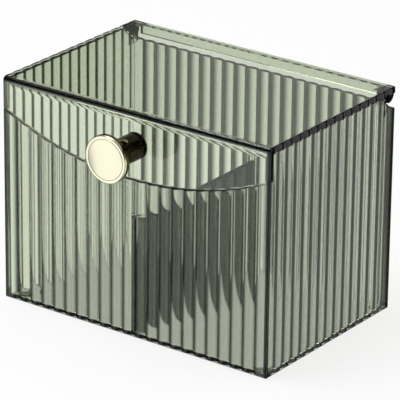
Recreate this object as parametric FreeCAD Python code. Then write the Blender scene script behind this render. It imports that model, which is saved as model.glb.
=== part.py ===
import FreeCAD, Part
import math
import os

# Flip-lid box for cotton swabs, with reeded walls, a lift-out divider and a metal knob.
# Millimetres. +X to the right, +Y to the back, +Z up. The origin is on the surface that
# the feet stand on, under the middle of the case.

# Case
CASE_WIDTH = 136.0         # over the reed crests, left to right
CASE_DEPTH = 90.0          # over the reed crests, front to back
CASE_HEIGHT = 100.0        # underside of the case to the top of the closed lid
WALL = 2.4                 # reed crest to inner face
FLOOR = 1.2
CORNER_RADIUS = 0.6        # vertical outer corners
BASE_BAND = 0.4            # plain band under the reeds
REED_PITCH = 6.1
REED_HEIGHT = 1.0          # crest to groove
REED_MARGIN = 5.0          # least plain width between the last groove and a corner
REAR_RIM_DROP = 9.4        # top of the lid to the top of the back wall

# Feet
FOOT_HEIGHT = 0.5          # how far the feet hold the case off the table
FOOT_RADIUS = 2.5
FOOT_EDGE = 0.2            # rounding of the foot's lower edge
FOOT_INSET = 5.5           # foot centre from both outer faces
FOOT_STEM_RADIUS = 1.8
FOOT_STEM_RECESS = 0.2     # stem's end below the floor's top

# Lid
LID_THICKNESS = 2.8
LID_GAP = 0.2              # over the side walls
LID_EDGE = 0.4             # rounding of the lid's upper rear edge
LID_SIDE_RADIUS = 1.6      # rounding of the lid's upper side edges
FLAP_THICKNESS = 2.0
FLAP_OUTER_RADIUS = 1.8    # where the top turns down into the flap
FLAP_INNER_RADIUS = 0.5     # over the side walls
FLAP_FILLET = 2.2          # between the side walls
FLAP_FILLET_GAP = 0.3      # from the fillet's ends to the side walls
FLAP_DROP_MIDDLE = 29.8    # top of the lid to the flap's lower edge, at the middle
FLAP_DROP_END = 14.0       # the same, at the ends
FLAP_GAP = 0.4             # between the flap's lower edge and the front wall
SKIRT_THICKNESS = 2.0      # strip under the lid's rear edge
SKIRT_DROP = 6.9           # top of the lid to the skirt's lower edge

# Hinge
HINGE_BELOW_TOP = 4.6      # axis under the top of the lid
HINGE_FROM_BACK = 4.0      # axis in front of the case's rear face
PIN_RADIUS = 0.7
PIN_RUNNING = 0.05         # radial clearance of the pin in the lid's ear
PIN_TIGHT = 0.01           # radial clearance of the pin in the case's post
PIN_RECESS = 0.2           # pin's inner end below the post's face
PIN_DEPTH_IN_EAR = 1.3
PIN_END_GAP = 0.3          # pin's outer end to the bottom of its hole
EAR_RADIUS = 3.45
EAR_BELOW_TOP = 2.55       # centre of the ear's round edge under the top of the lid
EAR_FROM_BACK = 4.8        # the same centre in front of the case's rear face
EAR_GAP = 0.3              # sideways, between ear and post
NOTCH_GAP = 0.65           # between the ear's rim and the notch in the side wall
NOTCH_SLOPE = 3.0          # rear face to where the notch has come down to the rear rim
NOTCH_LIP = 3.0            # rounding of the side wall's top in front of the notch
POST_THICKNESS = 2.4
POST_RADIUS = 1.45         # about the axis
POST_FRONT = 3.0           # axis to the post's front face
POST_BACK = 0.8            # axis to the post's rear face, under the rounded top
POST_LENGTH = 5.0          # axis to the lower end of the post's inner face
SKIRT_GAP = 0.3            # between the skirt's end and the post

# Divider
DIVIDER_THICKNESS = 2.0
DIVIDER_HEIGHT = 50.7
DIVIDER_SIDE_PLAY = 0.15   # each side, in the guides
DIVIDER_END_PLAY = 0.2     # each end, to the walls
DIVIDER_REST_GAP = 0.05    # over the floor
DIVIDER_CORNER = 1.5
GUIDE_THICKNESS = 1.1
GUIDE_DEPTH = 2.0
GUIDE_ABOVE_DIVIDER = 2.5
GUIDE_LEAD_IN = 0.8        # chamfer at the top of each guide

# Knob with its screw and washer
KNOB_BELOW_TOP = 15.4      # knob axis under the top of the lid
KNOB_LENGTH = 18.2
DISC_RADIUS = 10.3
DISC_THICKNESS = 2.7
DISC_EDGE = 0.5
DISH_RADIUS = 8.9
DISH_DEPTH = 0.35
STEM_RADIUS = 5.8
STEM_FILLET = 0.8
STEM_EDGE = 0.4
SCREW_RADIUS = 2.0
SCREW_ENGAGEMENT = 8.0     # length of screw inside the knob
SCREW_FIT = 0.03           # radial clearance that stands in for the thread
SCREW_HOLE_PLAY = 0.2      # radial, in flap and washer
SCREW_TIP_ROOM = 1.5       # end of the screw to the bottom of its hole
SCREW_HEAD_RADIUS = 3.8
SCREW_HEAD_HEIGHT = 2.3
SCREW_HEAD_ROUND = 1.2
DRIVE_WIDTH = 1.0
DRIVE_LENGTH = 4.2
DRIVE_DEPTH = 1.2
WASHER_RADIUS = 5.8
WASHER_THICKNESS = 1.2
WASHER_EDGE = 0.3

ALL_WALLS = (0, 1, 2, 3)   # front, right, back, left
SIDE_WALLS = (1, 3)
OVERSIZE = 5.0             # how far a cutting tool reaches past what it cuts
SINK = 0.4                 # how far a rib's root reaches into the wall it grows from

# Places worked out from the sizes above
half_width = CASE_WIDTH / 2
half_depth = CASE_DEPTH / 2
inner_x = half_width - WALL
inner_y = half_depth - WALL
underside_z = FOOT_HEIGHT
floor_z = underside_z + FLOOR
lid_top_z = underside_z + CASE_HEIGHT
lid_under_z = lid_top_z - LID_THICKNESS
side_rim_z = lid_under_z - LID_GAP
rear_rim_z = lid_top_z - REAR_RIM_DROP
hinge_y = half_depth - HINGE_FROM_BACK
hinge_z = lid_top_z - HINGE_BELOW_TOP
post_x = inner_x - POST_THICKNESS
ear_x = inner_x + EAR_GAP
ear_y = half_depth - EAR_FROM_BACK
ear_z = lid_top_z - EAR_BELOW_TOP
flap_inner_y = -half_depth + FLAP_THICKNESS
knob_z = lid_top_z - KNOB_BELOW_TOP
screw_hole_radius = SCREW_RADIUS + SCREW_HOLE_PLAY
divider_z = floor_z + DIVIDER_REST_GAP
guide_top_z = divider_z + DIVIDER_HEIGHT + GUIDE_ABOVE_DIVIDER
slot_half = DIVIDER_THICKNESS / 2 + DIVIDER_SIDE_PLAY


def V(x, y, z):
    return FreeCAD.Vector(x, y, z)


def block(x0, x1, y0, y1, z0, z1):
    """A box between two corners, given as ranges along the axes."""
    return Part.makeBox(x1 - x0, y1 - y0, z1 - z0, V(x0, y0, z0))


def face_from_points(points):
    return Part.Face(Part.makePolygon(points + [points[0]]))


def rod_x(radius, x0, x1, y, z):
    """A cylinder along X."""
    return Part.makeCylinder(radius, x1 - x0, V(x0, y, z), V(1, 0, 0))


def rod_y(radius, y0, y1, x, z):
    """A cylinder along Y."""
    return Part.makeCylinder(radius, y1 - y0, V(x, y0, z), V(0, 1, 0))


def rod_z(radius, z0, z1, x, y):
    """A cylinder along Z."""
    return Part.makeCylinder(radius, z1 - z0, V(x, y, z0), V(0, 0, 1))


def mirrored_x(shape):
    return shape.mirror(V(0, 0, 0), V(1, 0, 0))


def both_sides(shape):
    return [shape, mirrored_x(shape)]


def four_corners(make):
    """One shape for each corner, from a function of the signs of X and Y."""
    return [make(sx, sy) for sx in (-1, 1) for sy in (-1, 1)]


def round_edges(shape, radius, wanted):
    """Fillet the edges whose middle point the test picks."""
    edges = [e for e in shape.Edges if wanted(e.valueAt((e.FirstParameter + e.LastParameter) / 2))]
    return shape.makeFillet(radius, edges)


def reed_line(half_length):
    """One wall seen from above, from its left corner to its right one, as edges in X with
    the crest line at Y = 0 and the grooves at Y = REED_HEIGHT."""
    count = int((2 * half_length - 2 * REED_MARGIN) / REED_PITCH)
    first = -count * REED_PITCH / 2
    grooves = [first + i * REED_PITCH for i in range(count + 1)]
    reed_radius = (REED_PITCH ** 2 / 4 + REED_HEIGHT ** 2) / (2 * REED_HEIGHT)
    quarter = REED_PITCH / 4
    quarter_y = reed_radius - math.sqrt(reed_radius ** 2 - quarter ** 2)
    left = V(-half_length + CORNER_RADIUS, 0, 0)
    right = V(half_length - CORNER_RADIUS, 0, 0)
    left_crest = V(grooves[0] - REED_PITCH / 2, 0, 0)
    right_crest = V(grooves[-1] + REED_PITCH / 2, 0, 0)
    first_groove = V(grooves[0], REED_HEIGHT, 0)
    last_groove = V(grooves[-1], REED_HEIGHT, 0)
    edges = [Part.makeLine(left, left_crest)]
    edges.append(Part.Arc(left_crest, left_crest + V(quarter, quarter_y, 0), first_groove).toShape())
    for x0, x1 in zip(grooves, grooves[1:]):
        crest = V((x0 + x1) / 2, 0, 0)
        edges.append(Part.Arc(V(x0, REED_HEIGHT, 0), crest, V(x1, REED_HEIGHT, 0)).toShape())
    edges.append(Part.Arc(last_groove, right_crest + V(-quarter, quarter_y, 0), right_crest).toShape())
    edges.append(Part.makeLine(right_crest, right))
    return edges


def reeded_outline(reeded_turns):
    """The outer outline seen from above: four walls and four small corners. The walls are
    numbered from the front, and those that aren't named are plain."""
    edges = []
    for turn in range(4):
        along, out = (half_width, half_depth) if turn % 2 == 0 else (half_depth, half_width)
        plain = Part.makeLine(V(-along + CORNER_RADIUS, 0, 0), V(along - CORNER_RADIUS, 0, 0))
        wall = reed_line(along) if turn in reeded_turns else [plain]
        place = FreeCAD.Placement(V(0, 0, 0), FreeCAD.Rotation(V(0, 0, 1), 90 * turn))
        place = place.multiply(FreeCAD.Placement(V(0, -out, 0), FreeCAD.Rotation()))
        bulge = CORNER_RADIUS * (1 - math.sqrt(0.5))
        corner = Part.Arc(V(along - CORNER_RADIUS, 0, 0), V(along - bulge, bulge, 0),
                          V(along, CORNER_RADIUS, 0)).toShape()
        for edge in wall + [corner]:
            edge = edge.copy()
            edge.Placement = place.multiply(edge.Placement)
            edges.append(edge)
    return Part.Face(Part.Wire(Part.sortEdges(edges)[0]))


def plain_block(z0, z1):
    """The case's outer block without reeds, with the same corners."""
    solid = block(-half_width, half_width, -half_depth, half_depth, z0, z1)
    return round_edges(solid, CORNER_RADIUS, lambda p: z0 < p.z < z1)


def above_arc(offset):
    """All of the front that is above the flap's curved lower edge, moved down by an offset.
    The edge is one arc through its middle and its two ends."""
    middle = V(0, 0, lid_top_z - FLAP_DROP_MIDDLE)
    end_z = lid_top_z - FLAP_DROP_END
    rise = end_z - middle.z
    radius = (half_width ** 2 + rise ** 2) / (2 * rise)
    centre_z = middle.z + radius
    outer = radius + offset
    x = half_width + OVERSIZE
    z = centre_z - math.sqrt(outer ** 2 - x ** 2)
    top = lid_top_z + OVERSIZE
    y = -half_depth - OVERSIZE
    arc = Part.Arc(V(-x, y, z), V(0, y, centre_z - outer), V(x, y, z)).toShape()
    sides = [Part.makeLine(V(x, y, z), V(x, y, top)),
             Part.makeLine(V(x, y, top), V(-x, y, top)),
             Part.makeLine(V(-x, y, top), V(-x, y, z))]
    return Part.Face(Part.Wire([arc] + sides))


def guide(side, front):
    """One upright rib beside the divider, on the front or back wall, with a lead-in on top.
    side and front are signs."""
    near = side * slot_half
    far = side * (slot_half + GUIDE_THICKNESS)
    x0, x1 = min(near, far), max(near, far)
    wall_y = inner_y + SINK
    tip_y = inner_y - GUIDE_DEPTH
    profile = face_from_points([
        V(x0, -wall_y, floor_z - SINK),
        V(x0, -tip_y, floor_z - SINK),
        V(x0, -tip_y, guide_top_z - GUIDE_LEAD_IN),
        V(x0, -tip_y - GUIDE_LEAD_IN, guide_top_z),
        V(x0, -wall_y, guide_top_z)])
    rib = profile.extrude(V(x1 - x0, 0, 0))
    return rib if front < 0 else rib.mirror(V(0, 0, 0), V(0, 1, 0))


def notch():
    """The gap in the right-hand side wall that the lid's ear turns in: round about the ear,
    then sloping down to the rear rim."""
    reach = EAR_RADIUS + NOTCH_GAP
    x0, x1 = inner_x, half_width + OVERSIZE
    top, back = side_rim_z + OVERSIZE, half_depth + OVERSIZE
    low = face_from_points([V(x0, ear_y, ear_z - reach),
                            V(x0, half_depth - NOTCH_SLOPE, rear_rim_z),
                            V(x0, back, rear_rim_z),
                            V(x0, back, top),
                            V(x0, ear_y, top)])
    return low.extrude(V(x1 - x0, 0, 0)).fuse(rod_x(reach, x0, x1, ear_y, ear_z))


def notch_lip():
    """What the rounding takes off the side wall's top in front of the notch. It is bounded by
    the wall's top, the round of the notch, and an arc that meets both without a corner."""
    reach = EAR_RADIUS + NOTCH_GAP
    centre_z = side_rim_z - NOTCH_LIP
    drop = ear_z - centre_z
    centre_y = ear_y - math.sqrt((reach + NOTCH_LIP) ** 2 - drop ** 2)
    toward = V(0, ear_y - centre_y, drop).normalize()
    middle = (toward + V(0, 0, 1)).normalize()
    centre = V(inner_x, centre_y, centre_z)
    start = centre + V(0, 0, NOTCH_LIP)
    end = centre + toward * NOTCH_LIP
    arc = Part.Arc(start, centre + middle * NOTCH_LIP, end).toShape()
    inside = V(inner_x, ear_y, side_rim_z)
    outline = Part.Wire([arc, Part.makeLine(end, inside), Part.makeLine(inside, start)])
    return Part.Face(outline).extrude(V(WALL + OVERSIZE, 0, 0))


def hinge_post():
    """The right-hand post that carries the pin, on the side wall's inner face. Its top is round
    about the axis and its foot is cut at a slant so that it leaves the mould."""
    x0, x1 = post_x, inner_x + SINK
    bottom = hinge_z - POST_LENGTH
    side = face_from_points([V(x1, 0, bottom - POST_THICKNESS),
                             V(x1, 0, hinge_z),
                             V(x0, 0, hinge_z),
                             V(x0, 0, bottom)])
    side.translate(V(0, hinge_y - POST_FRONT, 0))
    shaft = side.extrude(V(0, POST_FRONT + POST_BACK, 0))
    top = block(x0, x1, hinge_y - POST_FRONT, hinge_y, hinge_z, hinge_z + POST_RADIUS)
    return shaft.fuse([top, rod_x(POST_RADIUS, x0, x1, hinge_y, hinge_z)]).cut(notch())


def foot_place(sx, sy):
    return sx * (half_width - FOOT_INSET), sy * (half_depth - FOOT_INSET)


def make_box_body():
    """Case in one moulding: reeded walls, floor, curved front edge, divider guides, hinge posts."""
    outline = reeded_outline(ALL_WALLS)
    outline.translate(V(0, 0, underside_z))
    body = outline.extrude(V(0, 0, side_rim_z - underside_z))
    body = body.fuse(plain_block(underside_z, underside_z + BASE_BAND))
    body = body.cut(block(-inner_x, inner_x, -inner_y, inner_y, floor_z, lid_top_z + OVERSIZE))
    front_cut = above_arc(FLAP_GAP).extrude(V(0, half_depth + OVERSIZE - inner_y, 0))
    rear_cut = block(-half_width - OVERSIZE, half_width + OVERSIZE, inner_y, half_depth + OVERSIZE,
                     rear_rim_z, lid_top_z + OVERSIZE)
    body = body.cut([front_cut, rear_cut] + both_sides(notch()) + both_sides(notch_lip()))
    ribs = [guide(side, front) for side in (-1, 1) for front in (-1, 1)]
    body = body.fuse(ribs + both_sides(hinge_post()))
    pin_hole = rod_x(PIN_RADIUS + PIN_TIGHT, post_x - OVERSIZE, half_width, hinge_y, hinge_z)

    def foot_hole(sx, sy):
        x, y = foot_place(sx, sy)
        return rod_z(FOOT_STEM_RADIUS + PIN_TIGHT, 0, floor_z + OVERSIZE, x, y)

    body = body.cut(both_sides(pin_hole) + four_corners(foot_hole))
    return body.removeSplitter()


def lid_profile():
    """Section through the lid's top and flap, seen from the side, with its rounded edges."""
    bottom = lid_top_z - CASE_HEIGHT / 2
    front, back = -half_depth, half_depth

    def bend(centre_y, centre_z, radius, from_angle, to_angle):
        def at(angle):
            return V(0, centre_y + radius * math.cos(angle), centre_z + radius * math.sin(angle))
        return Part.Arc(at(from_angle), at((from_angle + to_angle) / 2), at(to_angle)).toShape()

    quarter = math.pi / 2
    outer = bend(front + FLAP_OUTER_RADIUS, lid_top_z - FLAP_OUTER_RADIUS, FLAP_OUTER_RADIUS,
                 2 * quarter, quarter)
    rear = bend(back - LID_EDGE, lid_top_z - LID_EDGE, LID_EDGE, quarter, 0)
    inner = bend(flap_inner_y + FLAP_INNER_RADIUS, lid_under_z - FLAP_INNER_RADIUS, FLAP_INNER_RADIUS,
                 quarter, 2 * quarter)
    edges = [
        Part.makeLine(V(0, front, bottom), V(0, front, lid_top_z - FLAP_OUTER_RADIUS)),
        outer,
        Part.makeLine(V(0, front + FLAP_OUTER_RADIUS, lid_top_z), V(0, back - LID_EDGE, lid_top_z)),
        rear,
        Part.makeLine(V(0, back, lid_top_z - LID_EDGE), V(0, back, lid_under_z)),
        Part.makeLine(V(0, back, lid_under_z), V(0, flap_inner_y + FLAP_INNER_RADIUS, lid_under_z)),
        inner,
        Part.makeLine(V(0, flap_inner_y, lid_under_z - FLAP_INNER_RADIUS), V(0, flap_inner_y, bottom)),
        Part.makeLine(V(0, flap_inner_y, bottom), V(0, front, bottom))]
    return Part.Face(Part.Wire(edges))


def lid_limits():
    """The space that the lid's top and flap fill at most: its sides carry the same reeds as the
    side walls, and its upper side edges are rounded."""
    outline = reeded_outline(SIDE_WALLS)
    outline.translate(V(0, 0, underside_z))
    rounded = block(-half_width, half_width, -half_depth, half_depth, underside_z, lid_top_z)
    rounded = round_edges(rounded, LID_SIDE_RADIUS,
                          lambda p: abs(p.y) < 0.01 and abs(p.z - lid_top_z) < 0.01)
    return outline.extrude(V(0, 0, CASE_HEIGHT)).common(rounded)


def flap_fillet():
    """The round inner corner between top and flap, from side wall to side wall."""
    x = inner_x - FLAP_FILLET_GAP
    corner = V(-x, flap_inner_y, lid_under_z)
    along_top = corner + V(0, FLAP_FILLET, 0)
    down_flap = corner + V(0, 0, -FLAP_FILLET)
    bulge = FLAP_FILLET * (1 - math.sqrt(0.5))
    arc = Part.Arc(along_top, corner + V(0, bulge, -bulge), down_flap).toShape()
    sides = [Part.makeLine(down_flap, corner), Part.makeLine(corner, along_top)]
    return Part.Face(Part.Wire([arc] + sides)).extrude(V(2 * x, 0, 0))


def make_lid():
    """Lid in one moulding: top, front flap with a curved lower edge, rear skirt, two ears."""
    lid = lid_profile()
    lid.translate(V(-half_width, 0, 0))
    lid = lid.extrude(V(CASE_WIDTH, 0, 0)).common(lid_limits())
    above_flap_edge = above_arc(0).extrude(V(0, CASE_DEPTH / 2, 0))
    rest = block(-half_width, half_width, flap_inner_y + FLAP_INNER_RADIUS, half_depth,
                 lid_under_z - OVERSIZE, lid_top_z)
    lid = lid.common(above_flap_edge.fuse(rest))
    skirt_x = post_x - SKIRT_GAP
    skirt = block(-skirt_x, skirt_x, half_depth - SKIRT_THICKNESS, half_depth,
                  lid_top_z - SKIRT_DROP, lid_under_z)
    ear = rod_x(EAR_RADIUS, ear_x, half_width, ear_y, ear_z)
    ear = ear.common(block(ear_x, half_width, 0, half_depth, 0, lid_under_z))
    pin_hole = rod_x(PIN_RADIUS + PIN_RUNNING, post_x, ear_x + PIN_DEPTH_IN_EAR + PIN_END_GAP,
                     hinge_y, hinge_z)
    screw_hole = rod_y(screw_hole_radius, -half_depth - OVERSIZE, 0, 0, knob_z)
    lid = lid.fuse([skirt, flap_fillet()] + both_sides(ear))
    lid = lid.cut(both_sides(pin_hole) + [screw_hole])
    return lid.removeSplitter()


def make_divider():
    """Plate that stands between the guides and splits the case in two."""
    end_y = inner_y - DIVIDER_END_PLAY
    plate = block(-DIVIDER_THICKNESS / 2, DIVIDER_THICKNESS / 2, -end_y, end_y,
                  divider_z, divider_z + DIVIDER_HEIGHT)
    top = divider_z + DIVIDER_HEIGHT
    return round_edges(plate, DIVIDER_CORNER,
                       lambda p: abs(p.x) < 0.01 and abs(p.z - top) < 0.01 and abs(p.y) > 0.01)


def turned(points):
    """A solid turned about the knob's axis. Each point is a radius and a distance in front
    of the flap's outer face."""
    outline = [V(r, -half_depth - d, knob_z) for r, d in points]
    return face_from_points(outline).revolve(V(0, 0, knob_z), V(0, 1, 0), 360)


def at_turned_edge(radius, distance):
    """Test for the round edge at a radius and a distance in front of the flap."""
    y = -half_depth - distance

    def wanted(p):
        return abs(math.hypot(p.x, p.z - knob_z) - radius) < 0.01 and abs(p.y - y) < 0.01
    return wanted


def make_knob():
    """Turned knob: stem, disc with a shallow dished face, and a blind hole for the screw."""
    disc_back = KNOB_LENGTH - DISC_THICKNESS
    knob = turned([(0, 0), (STEM_RADIUS, 0), (STEM_RADIUS, disc_back), (DISC_RADIUS, disc_back),
                   (DISC_RADIUS, KNOB_LENGTH), (0, KNOB_LENGTH)])
    knob = round_edges(knob, STEM_EDGE, at_turned_edge(STEM_RADIUS, 0))
    knob = round_edges(knob, STEM_FILLET, at_turned_edge(STEM_RADIUS, disc_back))
    knob = round_edges(knob, DISC_EDGE, at_turned_edge(DISC_RADIUS, disc_back))
    knob = round_edges(knob, DISC_EDGE, at_turned_edge(DISC_RADIUS, KNOB_LENGTH))
    dish_sphere = (DISH_RADIUS ** 2 + DISH_DEPTH ** 2) / (2 * DISH_DEPTH)
    dish_y = -half_depth - KNOB_LENGTH + DISH_DEPTH - dish_sphere
    dish = Part.makeSphere(dish_sphere, V(0, dish_y, knob_z))
    hole = rod_y(SCREW_RADIUS + SCREW_FIT, -half_depth - SCREW_ENGAGEMENT - SCREW_TIP_ROOM,
                 -half_depth + OVERSIZE, 0, knob_z)
    return knob.cut([dish, hole])


def make_knob_washer():
    """Flat washer behind the flap."""
    ring = rod_y(WASHER_RADIUS, flap_inner_y, flap_inner_y + WASHER_THICKNESS, 0, knob_z)
    back = flap_inner_y + WASHER_THICKNESS
    ring = round_edges(ring, WASHER_EDGE, lambda p: abs(p.y - back) < 0.01)
    return ring.cut(rod_y(screw_hole_radius, flap_inner_y - OVERSIZE, back + OVERSIZE, 0, knob_z))


def make_knob_screw():
    """Pan-head screw with a cross drive, from the washer through the flap into the knob."""
    seat = flap_inner_y + WASHER_THICKNESS
    end = seat + SCREW_HEAD_HEIGHT
    head = rod_y(SCREW_HEAD_RADIUS, seat, end, 0, knob_z)
    head = round_edges(head, SCREW_HEAD_ROUND, lambda p: abs(p.y - end) < 0.01)
    shank = rod_y(SCREW_RADIUS, -half_depth - SCREW_ENGAGEMENT, seat, 0, knob_z)
    across, along = DRIVE_WIDTH / 2, DRIVE_LENGTH / 2
    drive = [block(-a, a, end - DRIVE_DEPTH, end + OVERSIZE, knob_z - b, knob_z + b)
             for a, b in ((across, along), (along, across))]
    return head.fuse(shank).cut(drive).removeSplitter()


def make_hinge_pin():
    """Right-hand hinge pin, pressed into the post, with its outer end in the lid's ear."""
    return rod_x(PIN_RADIUS, post_x + PIN_RECESS, ear_x + PIN_DEPTH_IN_EAR, hinge_y, hinge_z)


def make_foot(sx, sy):
    """Soft foot: a round pad under the case with a stem pushed into the floor."""
    x, y = foot_place(sx, sy)
    pad = rod_z(FOOT_RADIUS, 0, FOOT_HEIGHT, x, y)
    pad = round_edges(pad, FOOT_EDGE, lambda p: abs(p.z) < 0.01)
    return pad.fuse(rod_z(FOOT_STEM_RADIUS, 0, floor_z - FOOT_STEM_RECESS, x, y)).removeSplitter()


def all_parts():
    pin = make_hinge_pin()
    parts = {
        "box_body": make_box_body(),
        "lid": make_lid(),
        "divider": make_divider(),
        "knob": make_knob(),
        "knob_washer": make_knob_washer(),
        "knob_screw": make_knob_screw(),
        "hinge_pin_right": pin,
        "hinge_pin_left": mirrored_x(pin),
    }
    for fore, sy in (("front", -1), ("back", 1)):
        for hand, sx in (("left", -1), ("right", 1)):
            parts[f"foot_{fore}_{hand}"] = make_foot(sx, sy)
    return parts


os.makedirs("parts", exist_ok=True)
for node, shape in all_parts().items():
    solids = shape.Solids
    solid = solids[0] if len(solids) == 1 else shape
    solid.exportStep(f"parts/{node}.step")
    print(node, "solids", len(solids), "valid", shape.isValid(), "volume", round(shape.Volume, 1))
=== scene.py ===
import bpy
import bmesh
import math
import numpy as np
from mathutils import Matrix, Vector


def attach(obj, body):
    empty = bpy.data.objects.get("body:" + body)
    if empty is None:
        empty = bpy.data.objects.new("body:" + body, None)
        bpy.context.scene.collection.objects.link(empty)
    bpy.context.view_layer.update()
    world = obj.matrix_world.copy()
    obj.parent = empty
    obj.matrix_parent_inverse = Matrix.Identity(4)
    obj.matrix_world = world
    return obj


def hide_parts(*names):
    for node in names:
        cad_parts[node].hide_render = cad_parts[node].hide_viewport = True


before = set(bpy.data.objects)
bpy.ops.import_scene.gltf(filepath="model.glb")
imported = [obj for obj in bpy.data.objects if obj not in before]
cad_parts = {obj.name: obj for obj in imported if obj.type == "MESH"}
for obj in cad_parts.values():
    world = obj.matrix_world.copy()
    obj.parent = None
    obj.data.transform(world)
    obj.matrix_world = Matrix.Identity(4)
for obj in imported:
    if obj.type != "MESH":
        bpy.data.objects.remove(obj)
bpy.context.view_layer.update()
mm = 0.001
mergeReach = 2e-6   # points closer than this, in metres, become one
scene = bpy.context.scene
print("frame loaded:", len(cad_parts), "nodes")

# Measures that the case and the lid share, in millimetres. Heights are above the table, so the
# feet's half millimetre is in them already.
case = dict(width=136.0, depth=90.0, wall=2.4, floor=1.2, bottom=0.5, cornerRadius=0.6,
            band=0.4, pitch=6.1, reedHeight=1.0, reedMargin=5.0, stepsPerReed=20,
            notchFrom=30.0, notchSamples=60, cornerSamples=5,
            sideRim=97.5, rearRim=91.1, rimRound=0.3, insideRound=0.35, step=0.03)
flap = dict(top=100.5, thickness=2.0, dropMiddle=29.8, dropEnd=14.0, gap=0.4, outerRound=1.8,
            innerRound=2.2, endRound=0.5, innerEnd=65.3, edgeRound=0.3, screwHole=2.2, screwDrop=15.4)
lidTop = dict(thickness=2.8, backRound=0.4, sideRound=0.7, skirtThickness=2.0, skirtDrop=6.9,
              skirtEnd=62.9, lipRound=0.15, lipFlat=0.25, lipReach=1.2, stations=90, grooveGap=0.01)
hinge = dict(y=41.0, z=95.9, pinHole=0.75, pinTight=0.71, earRadius=3.45, earY=40.2, earZ=97.95,
             earGap=0.3, notchGap=0.65, slope=3.0, lip=3.0, postThickness=2.4, postRadius=1.45,
             postFront=3.0, postBack=0.8, postLength=5.0, postBite=0.2, postBore=1.2, earBore=1.6,
             earSamples=33)
guide = dict(slotHalf=1.15, thickness=1.1, depth=2.0, top=54.95, leadIn=0.8)
foot = dict(x=62.5, y=39.5, hole=1.81)

halfW, halfD = case["width"] / 2, case["depth"] / 2
innerX, innerY = halfW - case["wall"], halfD - case["wall"]
floorZ = case["bottom"] + case["floor"]
lidUnder = flap["top"] - lidTop["thickness"]


def meshFrom(name, points, faces):
    # points in millimetres; the object stays at the origin with its place in the mesh
    mesh = bpy.data.meshes.new(name)
    mesh.from_pydata((np.asarray(points, float) * mm).tolist(), [], [list(map(int, f)) for f in faces])
    mesh.update()
    obj = bpy.data.objects.new(name, mesh)
    scene.collection.objects.link(obj)
    return obj


def gridFaces(rows, columns):
    # four-sided faces between neighbouring rows, each row closed round to its start
    i = np.arange(rows - 1)[:, None]
    j = np.arange(columns)[None, :]
    k = (j + 1) % columns
    corners = [i * columns + j, i * columns + k, (i + 1) * columns + k, (i + 1) * columns + j]
    return np.stack(corners, axis=-1).reshape(-1, 4)


def barFaces(rows, columns):
    # the same with one flat face over the first row and one over the last
    last = (rows - 1) * columns
    ends = [list(range(columns))[::-1], list(range(last, last + columns))]
    return [list(quad) for quad in gridFaces(rows, columns)] + ends


def cleaned(obj, angle=None):
    # merges doubles, turns the faces outwards, and keeps edges sharp above the angle
    bm = bmesh.new()
    bm.from_mesh(obj.data)
    bmesh.ops.remove_doubles(bm, verts=bm.verts, dist=mergeReach)
    bmesh.ops.dissolve_degenerate(bm, edges=bm.edges, dist=mergeReach / 2)
    bmesh.ops.recalc_face_normals(bm, faces=bm.faces)
    bm.to_mesh(obj.data)
    bm.free()
    if angle is not None:
        obj.data.shade_smooth()
        obj.data.set_sharp_from_angle(angle=math.radians(angle))
    return obj


def joined(obj, tool, operation):
    # one solid added to or taken from another
    step = obj.modifiers.new("cut", "BOOLEAN")
    step.operation, step.object, step.solver = operation, tool, "EXACT"
    bpy.context.view_layer.update()
    made = bpy.data.meshes.new_from_object(obj.evaluated_get(bpy.context.evaluated_depsgraph_get()))
    old = obj.data
    obj.modifiers.clear()
    obj.data = made
    made.name = old.name + "Cut"
    bpy.data.objects.remove(tool)
    return obj


def prismX(name, outline, x0, x1):
    # a closed outline in Y and Z carried along X, with a flat face at each end
    outline = np.asarray(outline, float)
    n = len(outline)
    points = np.vstack([np.c_[np.full(n, x), outline] for x in (x0, x1)])
    return meshFrom(name, points, barFaces(2, n))


def roundTool(name, radius, centre, axis, low, high, count=40):
    # a rod along one axis
    a = np.linspace(0, 2 * np.pi, count, endpoint=False)
    ring = np.c_[radius * np.cos(a), radius * np.sin(a)]
    others = [i for i in range(3) if i != axis]
    ends = []
    for at in (low, high):
        p = np.zeros((count, 3))
        p[:, others] = ring + np.asarray(centre)[others]
        p[:, axis] = at
        ends.append(p)
    return cleaned(meshFrom(name, np.vstack(ends), barFaces(2, count)))


def together(name, tools):
    # several loose tools as one object
    bm = bmesh.new()
    for tool in tools:
        bm.from_mesh(tool.data)
        bpy.data.objects.remove(tool)
    mesh = bpy.data.meshes.new(name)
    bm.to_mesh(mesh)
    bm.free()
    obj = bpy.data.objects.new(name, mesh)
    scene.collection.objects.link(obj)
    return obj


def reedDepth(s, half):
    # depth of the reeds along a wall: arcs of one radius between grooves one pitch apart,
    # half an arc past the outer grooves, then flat to the corner
    p, h = case["pitch"], case["reedHeight"]
    radius = (p * p / 4 + h * h) / (2 * h)
    count = int((2 * half - 2 * case["reedMargin"]) / p)
    crest = (np.abs(s) + (count / 2 + 0.5) * p) % p
    crest = np.minimum(crest, p - crest)
    depth = radius - np.sqrt(radius ** 2 - crest ** 2)
    return np.where(np.abs(s) < (count / 2 + 0.5) * p, depth, 0.0)


def arcHeight(x, drop=0.0):
    # height of the flap's lower edge: one circle through its middle and its two ends
    low, rise = flap["top"] - flap["dropMiddle"], flap["dropMiddle"] - flap["dropEnd"]
    radius = (halfW ** 2 + rise ** 2) / (2 * rise)
    return low + radius - np.sqrt((radius + drop) ** 2 - np.asarray(x, float) ** 2)


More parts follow.
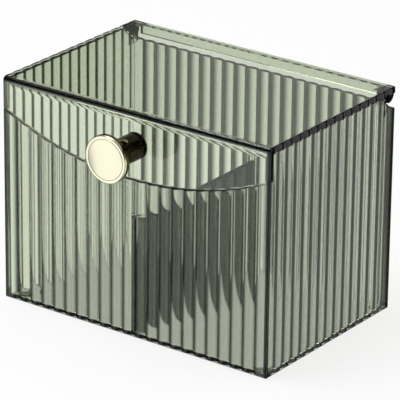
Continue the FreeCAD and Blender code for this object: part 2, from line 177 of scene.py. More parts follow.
def sideTop(y):
    # height of a side wall's top: level, then a rounded lip, the round of the notch about the
    # ear, a slope, and level again at the rear rim
    reach, lip = hinge["earRadius"] + hinge["notchGap"], hinge["lip"]
    centreZ = case["sideRim"] - lip
    centreY = hinge["earY"] - math.sqrt((reach + lip) ** 2 - (hinge["earZ"] - centreZ) ** 2)
    meetY = centreY + lip * (hinge["earY"] - centreY) / (reach + lip)
    slopeEnd = halfD - hinge["slope"]
    lowEar = hinge["earZ"] - reach
    y = np.asarray(y, float)
    lipZ = centreZ + np.sqrt(np.clip(lip ** 2 - (y - centreY) ** 2, 0, None))
    roundZ = hinge["earZ"] - np.sqrt(np.clip(reach ** 2 - (y - hinge["earY"]) ** 2, 0, None))
    slopeZ = lowEar + (case["rearRim"] - lowEar) * (y - hinge["earY"]) / (slopeEnd - hinge["earY"])
    return np.select([y < centreY, y < meetY, y < hinge["earY"], y < slopeEnd],
                     [case["sideRim"], lipZ, roundZ, slopeZ], case["rearRim"])


def wallSamples(half, inner):
    # places along one wall, close enough to draw every reed's arc
    step = case["pitch"] / case["stepsPerReed"]
    reach = int(inner / step)
    inside = np.arange(-reach, reach + 1) * step
    return np.unique(np.r_[-inner, inside[np.abs(inside) < inner - 1e-6], inner])


def caseOutline():
    # Places once round the case, from the front left: outer point, the same without reeds, inner
    # point, the top's height, how far the divider's guides stand in, and which way that is
    r = case["cornerRadius"]
    ribIn, ribOut = guide["slotHalf"], guide["slotHalf"] + guide["thickness"]
    frontEnd = float(arcHeight(halfW, flap["gap"]))
    rows = []
    for wall in range(4):
        side = wall % 2 == 1
        half, inner = (halfD, innerY) if side else (halfW, innerX)
        other, otherIn = (halfW, innerX) if side else (halfD, innerY)
        c, s = round(math.cos(wall * math.pi / 2)), round(math.sin(wall * math.pi / 2))
        turned = lambda px, py: (c * px - s * py, s * px + c * py)
        into = turned(0, 1)
        places = set(wallSamples(half, inner).tolist())
        if side:
            # closer samples for the notch, and a narrow step where the side wall's front edge
            # stands up behind the front wall's curved top
            back = 1 if wall == 1 else -1
            places |= set((back * np.linspace(case["notchFrom"], innerY, case["notchSamples"])).tolist())
            places |= {back * (case["step"] - innerY)}
        else:
            places |= {sign * e for e in (ribIn, ribOut) for sign in (-1, 1)}
        places = np.array(sorted(places))
        for u, depth in zip(places, reedDepth(places, half)):
            x, y = turned(u, -other)
            if wall == 0:
                top = float(arcHeight(x, flap["gap"]))
            elif wall == 2:
                top = case["rearRim"]
            else:
                top = float(sideTop(y)) if y > case["step"] / 2 - innerY else frontEnd
            ribs = [0.0]
            if not side and min(abs(abs(u) - ribIn), abs(abs(u) - ribOut)) < 1e-9:
                entering = (abs(abs(u) - ribOut) < 1e-9) == (u < 0)
                ribs = [0.0, guide["depth"]] if entering else [guide["depth"], 0.0]
            elif not side and ribIn < abs(u) < ribOut:
                ribs = [guide["depth"]]
            for rib in ribs:
                rows.append([*turned(u, -other + depth), x, y, *turned(u, -otherIn), top, rib, *into])
        # round the corner to the next wall, with the inner point held in the inner corner
        top = frontEnd if wall in (0, 3) else case["rearRim"]
        for t in np.linspace(-math.pi / 2, 0, case["cornerSamples"]):
            p = turned(half - r + r * math.cos(t), -other + r + r * math.sin(t))
            rows.append([*p, *p, *turned(inner, -otherIn), top, 0.0, 0.0, 0.0])
    return np.array(rows)


def caseShell():
    # The case is one closed skin: for every place round the outline the skin runs from the
    # underside up the outer face, over the rim, down the inner face and on to the floor
    o = caseOutline()
    outer, plain, inner = o[:, 0:2], o[:, 2:4], o[:, 4:6]
    top, rib, into = o[:, 6], o[:, 7], o[:, 8:10]
    n = len(o)
    across = inner - plain
    across /= np.linalg.norm(across, axis=1)[:, None]
    r = case["rimRound"]
    inward = lambda p, d: p + across * d
    level = lambda z: np.full(n, z)
    rows = []

    def ring(xy, z):
        rows.append(np.c_[xy, z])

    bottom, bandTop = case["bottom"], case["bottom"] + case["band"]
    ring(inward(plain, r), level(bottom))
    for t in (30, 60):
        a = math.radians(t)
        ring(inward(plain, r * (1 - math.sin(a))), level(bottom + r * (1 - math.cos(a))))
    ring(plain, level(bottom + r))
    ring(plain, level(bandTop))
    ring(outer, level(bandTop))
    ring(outer, top - r)
    for t in (30, 60):
        a = math.radians(t)
        ring(inward(outer, r * (1 - math.cos(a))), top - r * (1 - math.sin(a)))
    ring(inward(outer, r), top)
    ring(inward(inner, -r), top)
    for t in (30, 60):
        a = math.radians(t)
        ring(inward(inner, -r * (1 - math.sin(a))), top - r * (1 - math.cos(a)))
    ring(inner, top - r)
    ribTop = guide["top"]
    ring(inner, level(ribTop))
    toRib = lambda d: inner + into * np.minimum(rib, d)[:, None]
    ring(toRib(guide["depth"] - guide["leadIn"]), level(ribTop))
    ring(toRib(guide["depth"]), level(ribTop - guide["leadIn"]))
    f = case["insideRound"]
    foot = toRib(guide["depth"])
    for t in (0, 30, 60, 90):
        # the round on to the floor, kept inside the corner that two walls make
        t = math.radians(t)
        d = f * (1 - math.cos(t))
        limit = np.array([innerX - d, innerY - d])
        ring(np.clip(foot + into * d, -limit, limit), level(floorZ + f * (1 - math.sin(t))))
    return cleaned(meshFrom("caseReededShell", np.vstack(rows), barFaces(len(rows), n)))


def hingePost(sign):
    # side view of the post: round about the pin's axis, flat in front, cut back behind; its
    # lower end slants from the inner face down to the wall
    y, z, r = hinge["y"], hinge["z"], hinge["postRadius"]
    a = np.radians(np.linspace(90, -math.degrees(math.acos(hinge["postBack"] / r)), 14))
    top = np.c_[y + r * np.cos(a), z + r * np.sin(a)]
    low = z - hinge["postLength"]
    outline = np.vstack([[y - hinge["postFront"], low], [y - hinge["postFront"], z + r], top,
                         [y + hinge["postBack"], low]])[::-1]
    x0, x1 = innerX - hinge["postThickness"], innerX + hinge["postBite"]
    n = len(outline)
    slant = np.where(outline[:, 1] <= low + 1e-6, hinge["postThickness"], 0.0)
    ends = [np.c_[np.full(n, x0), outline], np.c_[np.full(n, x1), outline]]
    ends[1][:, 2] -= slant
    points = np.vstack(ends)
    points[:, 0] *= sign
    return cleaned(meshFrom("post", points, barFaces(2, n)))


def earGapTool(sign):
    # keeps the post's root out of the notch that the ear turns in
    reach = hinge["earRadius"] + hinge["notchGap"]
    a = np.radians(np.linspace(180, 270, 20))
    arc = np.c_[hinge["earY"] + reach * np.cos(a), hinge["earZ"] + reach * np.sin(a)]
    back, high = halfD + 5, hinge["earZ"] + reach
    outline = np.vstack([arc, [halfD - hinge["slope"], case["rearRim"]], [back, case["rearRim"]],
                         [back, high], [arc[0, 0], high]])
    x = sorted((sign * innerX, sign * (halfW + 5)))
    return cleaned(prismX("gap", outline, *x))


def makeCase():
    # the skin with its posts, then the feet's holes through the floor and the pins' holes, which
    # start clear of the posts and end inside the wall
    shell = caseShell()
    posts = []
    for sign in (-1, 1):
        post = joined(hingePost(sign), earGapTool(sign), "DIFFERENCE")
        posts.append(post)
    shell = joined(shell, together("posts", posts), "UNION")
    tools = [roundTool("hole", foot["hole"], (sx * foot["x"], sy * foot["y"], 0), 2, -1, floorZ + 2)
             for sx in (-1, 1) for sy in (-1, 1)]
    for sign in (-1, 1):
        ends = sorted((sign * (innerX - 5), sign * (innerX + hinge["postBore"])))
        tools.append(roundTool("hole", hinge["pinTight"], (0, hinge["y"], hinge["z"]), 0, *ends, 24))
    return joined(shell, together("holes", tools), "DIFFERENCE")


def roundedOff(x, radius):
    # how far a rounded end has come in at one place along X
    past = max(0.0, abs(x) - (halfW - radius))
    return radius - math.sqrt(max(0.0, radius ** 2 - past ** 2))


def lidSection(x):
    # Once round the lid in its side view at one place along X, from the flap's lower outer edge
    # up, over the top, down the back, along the skirt, the underside and the ear, and down the
    # flap's inner face. Every section has the same number of points.
    corner = roundedOff(x, case["cornerRadius"])
    front, back, top = -halfD + corner, halfD - corner, flap["top"]
    low = float(arcHeight(x))
    e, r, b = flap["edgeRound"], flap["outerRound"], lidTop["backRound"]
    s = flap["innerRound"] if abs(x) <= flap["innerEnd"] + 1e-9 else flap["endRound"]
    drop = roundedOff(x, lidTop["sideRound"])
    skirt = abs(x) <= lidTop["skirtEnd"] + 1e-9
    earStart = innerX + hinge["earGap"]
    ear = abs(x) >= earStart - 1e-9
    bendSteps = 12
    pts = []

    def arc(cy, cz, radius, a0, a1, steps):
        a = np.radians(np.linspace(a0, a1, steps + 1))
        pts.extend(np.c_[cy + radius * np.cos(a), cz + radius * np.sin(a)].tolist())

    arc(front + e, low + e, e, 270, 180, 3)
    arc(front + r, top - r, r, 180, 90, bendSteps)
    bend = len(pts)
    arc(back - b, top - b, b, 90, 0, 4)
    # the upper side edges are round: the top comes down, and the bend in front of it flattens
    for i in range(bend - bendSteps - 1, len(pts)):
        share = (pts[i][1] - (top - r)) / r if i < bend else 1.0
        pts[i][1] -= drop * share
    skirtLow = top - lidTop["skirtDrop"] if skirt else lidUnder
    inner = back - lidTop["skirtThickness"]
    if skirt:
        arc(back - e, skirtLow + e, e, 0, -90, 3)
        arc(inner + e, skirtLow + e, e, 270, 180, 3)
        arc(inner - e, lidUnder - e, e, 0, 90, 3)
    else:
        lip = lidTop["lipRound"]
        arc(back - lip, lidUnder + lip, lip, 0, -90, 3)
        flat = np.linspace(back - lidTop["lipFlat"], halfD - lidTop["lipReach"], 8)
        pts.extend(np.c_[flat, np.full(8, lidUnder)].tolist())
    count = hinge["earSamples"]
    a = np.linspace(0, np.pi, count)
    y = hinge["earY"] + hinge["earRadius"] * np.cos(a)
    z = hinge["earZ"] - hinge["earRadius"] * np.sin(a)
    if skirt:
        y = np.linspace(inner - e - 0.1, hinge["earY"] - hinge["earRadius"], count)
    z = np.minimum(z, lidUnder) if ear else np.full(count, lidUnder)
    pts.extend(np.c_[y, z].tolist())
    arc(-halfD + flap["thickness"] + s, lidUnder - s, s, 90, 180, 12)
    arc(-halfD + flap["thickness"] - e, low + e, e, 0, -90, 3)
    return np.array(pts)


def grooveTool(sign):
    # what the reeds leave free beside the lid's edge, from its underside up: the side wall's own
    # curve, with a flat face outside. The crests stay clear of the edge by a small gap.
    y = wallSamples(halfD, innerY)
    curve = np.c_[halfW + lidTop["grooveGap"] - reedDepth(y, halfD), y]
    outline = np.vstack([curve, [halfW + 2, innerY], [halfW + 2, -innerY]]) * [sign, 1]
    n = len(outline)
    points = np.vstack([np.c_[outline, np.full(n, z)] for z in (lidUnder - 0.02, flap["top"] + 1)])
    return cleaned(meshFrom("grooves", points, barFaces(2, n)))


def makeLid():
    # sections carried along X, closer where the section changes and at the rounded ends
    earStart = innerX + hinge["earGap"]
    middle = np.linspace(0, lidTop["skirtEnd"], lidTop["stations"])
    step = case["step"]
    places = [lidTop["skirtEnd"] + step, flap["innerEnd"], flap["innerEnd"] + step,
              earStart - step, earStart]
    for radius, angles in ((lidTop["sideRound"], (0, 12, 24, 34, 42, 52, 60, 68, 74, 80, 86)),
                           (case["cornerRadius"], (0, 20, 40, 60, 75, 90))):
        places += [halfW - radius + radius * math.sin(math.radians(t)) for t in angles]
    half = middle.tolist() + sorted(places)
    stations = [-x for x in half[::-1]] + half[1:]
    sections = [lidSection(x) for x in stations]
    n = len(sections[0])
    points = np.vstack([np.c_[np.full(n, x), s] for x, s in zip(stations, sections)])
    lid = cleaned(meshFrom("lidWithFlap", points, barFaces(len(stations), n)))
    centre = (0, 0, flap["top"] - flap["screwDrop"])
    tools = [roundTool("hole", flap["screwHole"], centre, 1, -halfD - 3, -halfD + 5)]
    for sign in (-1, 1):
        xs = sorted((sign * (earStart - 1), sign * (earStart + hinge["earBore"])))
        tools.append(roundTool("hole", hinge["pinHole"], (0, hinge["y"], hinge["z"]), 0, *xs, 24))
    lid = joined(lid, together("holes", tools), "DIFFERENCE")
    return joined(lid, together("grooves", [grooveTool(sign) for sign in (-1, 1)]), "DIFFERENCE")


divider = dict(half=1.0, low=1.75, height=50.7, end=42.4, corner=1.5, edge=0.25)


def makeDivider():
    # a rounded outline in Y and Z, carried through the thickness with a small round at each face
    d = divider
    top, r = d["low"] + d["height"], d["corner"]
    a = np.radians(np.linspace(0, 90, 10))
    right = np.c_[d["end"] - r + r * np.cos(a), top - r + r * np.sin(a)]
    left = right[::-1] * [-1, 1]
    outline = np.vstack([[d["end"], d["low"]], right, left, [-d["end"], d["low"]]])
    centre = np.array([0, d["low"] + d["height"] / 2])
    size = np.array([d["end"], d["height"] / 2])
    e = d["edge"]
    rows = []
    profile = [(-d["half"] + e * (1 - math.cos(t)), e * (1 - math.sin(t)))
               for t in np.radians((0, 30, 60, 90))]
    profile += [(-x, i) for x, i in profile[::-1]]
    for x, i in profile:
        shrunk = centre + (outline - centre) * (1 - i / size)
        rows.append(np.c_[np.full(len(outline), x), shrunk])
    return cleaned(meshFrom("dividerPlate", np.vstack(rows), barFaces(len(rows), len(outline))))


knob = dict(z=85.1, length=18.2, discRadius=10.3, discThickness=2.7, discEdge=0.5, rim=1.25,
            rimRound=0.35, dishDepth=0.45, stemRadius=5.8, stemFillet=0.8, stemEdge=0.4,
            hole=2.03, holeDepth=9.5, around=160)


def knobProfile():
    # radius and distance in front of the flap, from the middle of the dished face outwards,
    # round the disc, down the stem and up the screw's hole
    k = knob
    length, back = k["length"], k["length"] - k["discThickness"]
    pts = []

    def arc(cr, cd, radius, a0, a1, steps):
        a = np.radians(np.linspace(a0, a1, steps + 1))
        pts.extend(np.c_[cr + radius * np.cos(a), cd + radius * np.sin(a)].tolist())

    dish = k["discRadius"] - k["discEdge"] - k["rim"]
    sphere = (dish ** 2 + k["dishDepth"] ** 2) / (2 * k["dishDepth"])
    r = np.linspace(0, dish, 24)
    pts.extend(np.c_[r, length - k["dishDepth"] + sphere - np.sqrt(sphere ** 2 - r ** 2)].tolist())
    arc(dish + k["rimRound"], length - k["rimRound"], k["rimRound"], 150, 90, 5)
    arc(k["discRadius"] - k["discEdge"], length - k["discEdge"], k["discEdge"], 90, 0, 8)
    arc(k["discRadius"] - k["discEdge"], back + k["discEdge"], k["discEdge"], 0, -90, 8)
    f = k["stemFillet"]
    arc(k["stemRadius"] + f, back - f, f, 90, 180, 8)
    e = k["stemEdge"]
    arc(k["stemRadius"] - e, e, e, 0, -90, 5)
    pts.extend([[k["hole"], 0], [k["hole"], k["holeDepth"]], [0, k["holeDepth"]]])
    return np.array(pts)


def makeKnob():
    # the profile turned about the knob's axis
    p = knobProfile()
    p[:, 0] = np.maximum(p[:, 0], 0)
    n = knob["around"]
    a = np.linspace(0, 2 * np.pi, n, endpoint=False)
    x = p[:, 0, None] * np.cos(a)
    z = knob["z"] + p[:, 0, None] * np.sin(a)
    y = np.broadcast_to(-halfD - p[:, 1, None], x.shape)
    points = np.stack([x, y, z], -1).reshape(-1, 3)
    return cleaned(meshFrom("knobTurned", points, gridFaces(len(p), n)), 35)


def linear(text):
    # sRGB hex to linear colour
    values = [int(text[i:i + 2], 16) / 255 for i in (0, 2, 4)]
    return [v / 12.92 if v <= 0.04045 else ((v + 0.055) / 1.055) ** 2.4 for v in values] + [1.0]


def node(tree, kind, settings=None, links=None, **fields):
    # adds a node with its fields, the values of its sockets, and what feeds them: a socket, or a
    # node, which stands for its first output
    made = tree.nodes.new("ShaderNode" + kind)
    for name, value in fields.items():
        setattr(made, name, value)
    for name, value in (settings or {}).items():
        made.inputs[name].default_value = value
    for name, source in (links or {}).items():
        tree.links.new(getattr(source, "outputs", [source])[0], made.inputs[name])
    return made


def newMaterial(name):
    material = bpy.data.materials.new(name)
    material.use_nodes = True
    material.node_tree.nodes.clear()
    return material, material.node_tree


# Smoke-green acrylic, injection moulded and polished. Thin walls read pale grey-green, and the
# long way through an edge reads almost black. The waves of the moulding are in millimetres.
# The last colour is painted shade, laid on the dark places below.
acrylic = dict(tint="f4f7f0", absorb="cbd9b0", density=106.0, ior=1.49, shadow="c9d2bf",
               rough=0.0, waveSize=34.0, waveDepth=0.012, paintedShade="242723")
# Places that the photograph shows almost black, because light runs along the sheet there. Each is
# where two measures have both passed from their first value to their second. Those of a face's
# direction are 1 where it looks straight that way.
# At each of these places the colour is painted near-black as shade.
paintedShadePlaces = dict(
    ear=(("fromEar", 4.3 * mm, 3.5 * mm), ("across", 61.5 * mm, 61.6 * mm)),
    corner=(("across", (halfW - 1.55) * mm, (halfW - 1.15) * mm),
            ("along", (halfD - 1.55) * mm, (halfD - 1.15) * mm)),
    rim=(("upwards", 0.5, 0.501), ("height", 60 * mm, 61 * mm)),
    edge=(("sideways", 0.5, 0.501), ("across", innerX * mm, (innerX + 0.1) * mm)),
    ends=(("forwards", 0.5, 0.501), ("along", 30 * mm, 31 * mm)))
earMiddle = {"Y": hinge["y"] * mm, "Z": (hinge["z"] + 0.8) * mm}


def acrylicMaterial(name, s):
    material, tree = newMaterial(name)
    place = node(tree, "TexCoord")
    wave = node(tree, "TexNoise", {"Scale": 1000 / s["waveSize"], "Detail": 1.0},
                {"Vector": place.outputs["Object"]})
    bump = node(tree, "Bump", {"Strength": 1.0, "Distance": s["waveDepth"] * mm}, {"Height": wave})
    # the measures: distances from the box's two middle planes, height, distance from the ear's
    # middle in side view, and which way the face looks
    parts = node(tree, "SeparateXYZ", None, {0: place.outputs["Object"]}).outputs
    turned = node(tree, "SeparateXYZ", None, {0: node(tree, "NewGeometry").outputs["Normal"]}).outputs
    measures = dict(height=parts["Z"], upwards=turned["Z"])
    for key, source in (("across", parts["X"]), ("along", parts["Y"]), ("sideways", turned["X"]),
                        ("forwards", turned["Y"])):
        measures[key] = node(tree, "Math", None, {0: source}, operation="ABSOLUTE")
    squares = []
    for axis, middle in earMiddle.items():
        off = node(tree, "Math", {1: middle}, {0: parts[axis]}, operation="SUBTRACT")
        squares.append(node(tree, "Math", {1: 2.0}, {0: off}, operation="POWER"))
    total = node(tree, "Math", None, dict(enumerate(squares)), operation="ADD")
    measures["fromEar"] = node(tree, "Math", None, {0: total}, operation="SQRT")
    paintedShadeMask = None
    for spot in s["dark"]:
        passed = [node(tree, "MapRange", {"From Min": first, "From Max": second}, {"Value": measures[key]})
                  for key, first, second in paintedShadePlaces[spot]]
        both = node(tree, "Math", None, dict(enumerate(passed)), operation="MULTIPLY")
        paintedShadeMask = node(tree, "Math", None, {0: paintedShadeMask, 1: both}, operation="MAXIMUM") if paintedShadeMask else both
    # painted shade: the colour goes from the tint to near-black at the dark places
    tint = node(tree, "Mix", {"A": linear(s["tint"]), "B": linear(s["paintedShade"])}, {"Factor": paintedShadeMask},
                data_type="RGBA")
    body = node(tree, "BsdfPrincipled",
                {"Roughness": s["rough"], "IOR": s["ior"], "Transmission Weight": 1.0},
                {"Normal": bump, "Base Color": tint.outputs["Result"]})
    # light passes to the table as through a pale sheet
    through = node(tree, "BsdfTransparent", {"Color": linear(s["shadow"])})
    path = node(tree, "LightPath")
    mix = node(tree, "MixShader", None, {0: path.outputs["Is Shadow Ray"], 1: body, 2: through})
    soak = node(tree, "VolumeAbsorption", {"Color": linear(s["absorb"]), "Density": s["density"]})
    node(tree, "OutputMaterial", None, {"Surface": mix, "Volume": soak})
    return material


# Zinc plated pale gold and polished: it mirrors the room with a cream tint. Depths are in
# millimetres behind the face. The grain is a little over a millimetre, as coarse as it has to be to
# show.
# The face colour is a painted highlight; the edge and stem colours are painted shade.
goldAndPaintedLight = dict(face="fffce0", edge="7d6b40", stem="4a4026", rough=0.09, faceRough=0.13,
                 grain=900.0, uneven=(0.8, 1.3), faceDepth=0.5, behindDisc=0.6, fade=0.4)


def goldMaterial(name, s):
    material, tree = newMaterial(name)
    place = node(tree, "TexCoord")
    grain = node(tree, "TexNoise", {"Scale": s["grain"], "Detail": 3.0},
                 {"Vector": place.outputs["Object"]})
    least, most = (s["rough"] * share for share in s["uneven"])
    rough = node(tree, "MapRange", {"To Min": least, "To Max": most}, {"Value": grain})
    # over the pale gold, the bright-turned face is painted cream-white as a highlight, the disc's edge
    # darker and the stem dark as painted shade
    parts = node(tree, "SeparateXYZ", None, {0: place.outputs["Object"]})
    depths = (s["faceDepth"], knob["discThickness"] + s["behindDisc"])
    ends = [-(halfD + knob["length"] - depth) * mm for depth in depths]
    colour = satin = None
    for end, following in zip(ends, (s["edge"], s["stem"])):
        step = node(tree, "MapRange", {"From Min": end, "From Max": end + s["fade"] * mm},
                    {"Value": parts.outputs["Y"]})
        satin = satin or step
        mix = node(tree, "Mix", {"A": linear(s["face"]), "B": linear(following)}, {"Factor": step},
                   data_type="RGBA")
        if colour:
            tree.links.new(colour, mix.inputs["A"])
        colour = mix.outputs["Result"]
    sheen = node(tree, "MapRange", {"To Min": s["faceRough"], "To Max": 0.0}, {"Value": satin})
    both = node(tree, "Math", None, {0: sheen, 1: rough}, operation="MAXIMUM")
    body = node(tree, "BsdfPrincipled", {"Metallic": 1.0}, {"Roughness": both, "Base Color": colour})
    node(tree, "OutputMaterial", None, {"Surface": body})
    return material


# Plated steel screw, and drawn steel pins that are blackened: a fine uneven sheen, drawn at two
# thirds of a millimetre so that it shows
screwSteel = dict(colour="b9b6ad", rough=0.25, grain=1500.0, uneven=(0.7, 1.4))
pinSteel = dict(colour="2b2d2e", rough=0.3, grain=1500.0, uneven=(0.7, 1.4))


def metalMaterial(name, s):
    material, tree = newMaterial(name)
    place = node(tree, "TexCoord")
    grain = node(tree, "TexNoise", {"Scale": s["grain"], "Detail": 2.0},
                 {"Vector": place.outputs["Object"]})
    least, most = (s["rough"] * share for share in s["uneven"])
    rough = node(tree, "MapRange", {"To Min": least, "To Max": most}, {"Value": grain})
    body = node(tree, "BsdfPrincipled", {"Base Color": linear(s["colour"]), "Metallic": 1.0},
                {"Roughness": rough})
    node(tree, "OutputMaterial", None, {"Surface": body})
    return material


# Soft clear-grey elastomer, moulded: dull, with a faint mottling of about a millimetre and a half
elastomer = dict(colour="8a8d87", mottling=700.0, rough=(0.5, 0.62), ior=1.45)


def rubberMaterial(name, s):
    material, tree = newMaterial(name)
    place = node(tree, "TexCoord")
    cloud = node(tree, "TexNoise", {"Scale": s["mottling"], "Detail": 3.0},
                 {"Vector": place.outputs["Object"]})
    least, most = s["rough"]
    rough = node(tree, "MapRange", {"To Min": least, "To Max": most}, {"Value": cloud})
    body = node(tree, "BsdfPrincipled", {"Base Color": linear(s["colour"]), "IOR": s["ior"]},
                {"Roughness": rough})
    node(tree, "OutputMaterial", None, {"Surface": body})
    return material


def dress(obj, material):
    # the one material of a piece
    obj.data.materials.clear()
    obj.data.materials.append(material)


# the case's reeds are a little softer than the lid's flat top, and the divider is far darker
# each piece's dark list says where its shade is painted
caseAcrylic = {**acrylic, "rough": 0.08, "dark": ("ear", "corner", "rim")}
lidAcrylic = {**acrylic, "dark": ("ear", "corner", "edge")}
dividerAcrylic = {**acrylic, "absorb": "8e9393", "density": 1300.0, "dark": ("ends",)}
caseGlass = acrylicMaterial("smokeAcrylicMoulded", caseAcrylic)
lidGlass = acrylicMaterial("smokeAcrylicLid", lidAcrylic)
dividerGlass = acrylicMaterial("darkSmokeAcrylicSheet", dividerAcrylic)
gold = goldMaterial("paleGoldPlatedZinc", goldAndPaintedLight)
print("materials:", len(bpy.data.materials))

casePiece = makeCase()
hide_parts("box_body")
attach(casePiece, "case")
dress(casePiece, caseGlass)
print("case:", len(casePiece.data.polygons), "faces")

lidPiece = makeLid()
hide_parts("lid")
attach(lidPiece, "lid")
dress(lidPiece, lidGlass)
print("lid:", len(lidPiece.data.polygons), "faces")

dividerPiece = makeDivider()
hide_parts("divider")
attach(dividerPiece, "divider")
dress(dividerPiece, dividerGlass)
print("divider:", len(dividerPiece.data.polygons), "faces")

knobPiece = makeKnob()
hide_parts("knob")
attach(knobPiece, "lid")
dress(knobPiece, gold)
print("knob:", len(knobPiece.data.polygons), "faces")

dress(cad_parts["knob_washer"], gold)
dress(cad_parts["knob_screw"], metalMaterial("platedSteelScrew", screwSteel))
pinMaterial = metalMaterial("blackenedSteelPin", pinSteel)
feetRubber = rubberMaterial("clearGreyElastomer", elastomer)
for name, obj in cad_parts.items():
    if name.startswith("hinge_pin"):
        dress(obj, pinMaterial)
    if name.startswith("foot_"):
        dress(obj, feetRubber)
print("fittings: washer, screw, pins and feet")

# levels of the room, 1 being white, and the heights in degrees between which they change
studio = dict(white="ffffff", dark=0.03, sky=0.03, ceiling=0.4, under=0.3, roomLight=0.75,
              underAngles=(-78, -48), skyAngles=(-12, 10), skyPanelAngles=(10, 18),
              ceilingAngles=(28, 44))
# white panels round the object: direction of the middle, half width that is full, half width where
# it ends, brightness
panels = [(48, 6, 32, 1.0), (140, 8, 18, 1.0), (-88, 40, 53, 1.0), (-10, 2, 8, 0.7), (188, 12, 26, 0.15)]
skyPanel = (12, 24, 26.5, 0.35)


def joinedLevels(tree, steps):
    # each step fades one measure between two of its values from one level to another, and is
    # joined to the steps before it as its last word says
    level = None
    for source, low, high, first, last, join in steps:
        step = node(tree, "MapRange", {"From Min": low, "From Max": high, "To Min": first, "To Max": last},
                    {"Value": source}, interpolation_type="SMOOTHSTEP")
        level = node(tree, "Math", None, {0: level, 1: step}, operation=join) if level else step
    return level


def makeWorld():
    # White all round to the camera. To what shines or is clear, the room is dark, with the white
    # panels up to the horizon, one dimmer panel above it and a grey ceiling. That draws the dark
    # lines on reeds and edges and keeps the lid's top from mirroring a bright sky.
    world = bpy.data.worlds.new("studio")
    scene.world = world
    world.use_nodes = True
    tree = world.node_tree
    tree.nodes.clear()
    s = studio
    place = node(tree, "TexCoord")
    parts = node(tree, "SeparateXYZ", None, {0: place.outputs["Generated"]}).outputs
    angle = node(tree, "Math", None, {0: parts["X"], 1: parts["Y"]}, operation="ARCTAN2")
    # a panel's level goes by the cosine of the angle to its middle, so that the ring closes
    steps = []
    for middle, full, end, bright in [*panels, skyPanel]:
        away = node(tree, "Math", {1: math.radians(middle)}, {0: angle}, operation="ADD")
        near = node(tree, "Math", None, {0: away}, operation="COSINE")
        low, high = (math.cos(math.radians(v)) for v in (end, full))
        steps.append([near, low, high, s["dark"], bright, "MAXIMUM"])
    over = steps.pop()
    over[3] = 0.0   # above the horizon there is nothing beside its panel
    under, sky, overhead, ceiling = (
        [math.sin(math.radians(v)) for v in s[key]]
        for key in ("underAngles", "skyAngles", "skyPanelAngles", "ceilingAngles"))
    steps.append([parts["Z"], *under, s["under"], 1.0, "MULTIPLY"])
    steps.append([parts["Z"], *sky, 1.0, s["sky"], "MULTIPLY"])
    level = joinedLevels(tree, steps)
    for others in ([over, [parts["Z"], *overhead, 0.0, 1.0, "MULTIPLY"]],
                   [[parts["Z"], *ceiling, 0.0, s["ceiling"], "MAXIMUM"]]):
        more = joinedLevels(tree, others)
        level = node(tree, "Math", None, {0: level, 1: more}, operation="MAXIMUM")
    path = node(tree, "LightPath")
    diffuse = node(tree, "Mix", {"B": s["roomLight"]},
                   {"A": level, "Factor": path.outputs["Is Diffuse Ray"]})
    shown = node(tree, "Mix", {"B": 1.0}, {"A": diffuse, "Factor": path.outputs["Is Camera Ray"]})
    light = node(tree, "Background", {"Color": linear(s["white"])}, {"Strength": shown})
    node(tree, "OutputWorld", None, {"Surface": light})


table = dict(size=3000.0, paint="f4f4f4", glow=0.75, shade="cfcfcf", shadeInside=1, shadeOutside=3)


def makeFloor():
    # Pale floor that keeps the shadow. What shines or is clear looks past it at the room.
    t = table
    size = t["size"]
    corners = [(-size, -size, 0), (size, -size, 0), (size, size, 0), (-size, size, 0)]
    floor = meshFrom("floor", corners, [[0, 1, 2, 3]])
    material, tree = newMaterial("paleFloor")
    paint = node(tree, "BsdfDiffuse", {"Color": linear(t["paint"])})
    glow = node(tree, "Emission", {"Color": linear(studio["white"]), "Strength": 1.0})
    pale = node(tree, "MixShader", {0: t["glow"]}, {1: paint, 2: glow})
    # under the case the table lies in its shade, which shows through the clear floor
    place = node(tree, "TexCoord")
    parts = node(tree, "SeparateXYZ", None, {0: place.outputs["Object"]})
    inside = []
    for axis, reach in (("X", halfW), ("Y", halfD)):
        away = node(tree, "Math", None, {0: parts.outputs[axis]}, operation="ABSOLUTE")
        low, high = (reach - t["shadeInside"]) * mm, (reach + t["shadeOutside"]) * mm
        inside.append(node(tree, "MapRange", {"From Min": low, "From Max": high, "To Min": 1.0,
                                              "To Max": 0.0}, {"Value": away}))
    below = node(tree, "Math", None, dict(enumerate(inside)), operation="MULTIPLY")
    shade = node(tree, "Mix", {"A": (1, 1, 1, 1), "B": linear(t["shade"])}, {"Factor": below},
                 data_type="RGBA")
    past = node(tree, "BsdfTransparent", None, {"Color": shade.outputs["Result"]})
    path = node(tree, "LightPath")
    seen = node(tree, "Math", None,
                {0: path.outputs["Is Glossy Ray"], 1: path.outputs["Is Transmission Ray"]},
                operation="MAXIMUM")
    mix = node(tree, "MixShader", None, {0: seen, 1: pale, 2: past})
    node(tree, "OutputMaterial", None, {"Surface": mix})
    dress(floor, material)


softbox = dict(place=(-250, -200, 900), aim=(0, 0, 40), size=500, power=4.0)


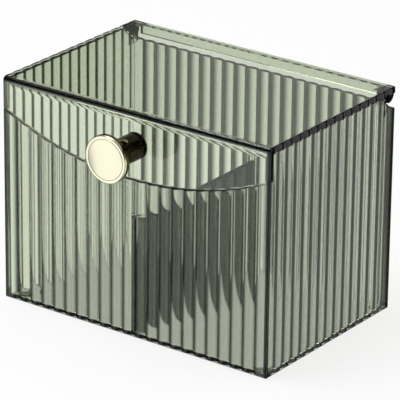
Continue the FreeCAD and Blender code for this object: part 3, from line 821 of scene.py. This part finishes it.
def makeLamp(name, s):
    # one square lamp turned to the point that it is aimed at
    data = bpy.data.lights.new(name, "AREA")
    data.size, data.energy = s["size"] * mm, s["power"]
    lamp = bpy.data.objects.new(name, data)
    scene.collection.objects.link(lamp)
    lamp.location = Vector(s["place"]) * mm
    lamp.rotation_mode = "QUATERNION"
    lamp.rotation_quaternion = (Vector(s["aim"]) * mm - lamp.location).to_track_quat("-Z", "Y")


makeWorld()
makeFloor()
makeLamp("topSoftbox", softbox)
print("studio: world, table and lamp")

# A long lens from the front right and above, level but for a slight roll, which is in radians. The
# focal length is in pixels of a picture that is 400 wide, and the clipping is in metres.
view = dict(azimuth=36.01, elevation=22.31, distance=1405.0, target=(1.3, 0.0, 47.5), roll=0.0114419,
            focal=3346.0, picture=400.0, sensor=36.0, clip=(0.05, 20.0))


def makeCamera():
    # stands back from the target by the distance, looks at it, and is turned by the roll
    v = view
    a, e = math.radians(v["azimuth"]), math.radians(v["elevation"])
    back = Vector((math.sin(a) * math.cos(e), -math.cos(a) * math.cos(e), math.sin(e)))
    right = (-back).cross(Vector((0, 0, 1))).normalized()
    up = right.cross(-back)
    c, s = math.cos(v["roll"]), math.sin(v["roll"])
    across, upward = right * c + up * s, up * c - right * s
    data = bpy.data.cameras.new("camera")
    data.sensor_width = v["sensor"]
    data.lens = v["focal"] * data.sensor_width / v["picture"]
    data.clip_start, data.clip_end = v["clip"]
    camera = bpy.data.objects.new("camera", data)
    scene.collection.objects.link(camera)
    place = Vector(v["target"]) * mm + back * v["distance"] * mm
    camera.matrix_world = Matrix((
        (across.x, upward.x, back.x, place.x),
        (across.y, upward.y, back.y, place.y),
        (across.z, upward.z, back.z, place.z),
        (0, 0, 0, 1)))
    scene.camera = camera


makeCamera()
print("camera:", view["azimuth"], "round and", view["elevation"], "up")
scene.view_settings.view_transform = "Standard"
# a ray through case, divider and lid crosses many faces before it leaves
scene.cycles.max_bounces = 32
scene.cycles.transmission_bounces = 32
scene.cycles.transparent_max_bounces = 16
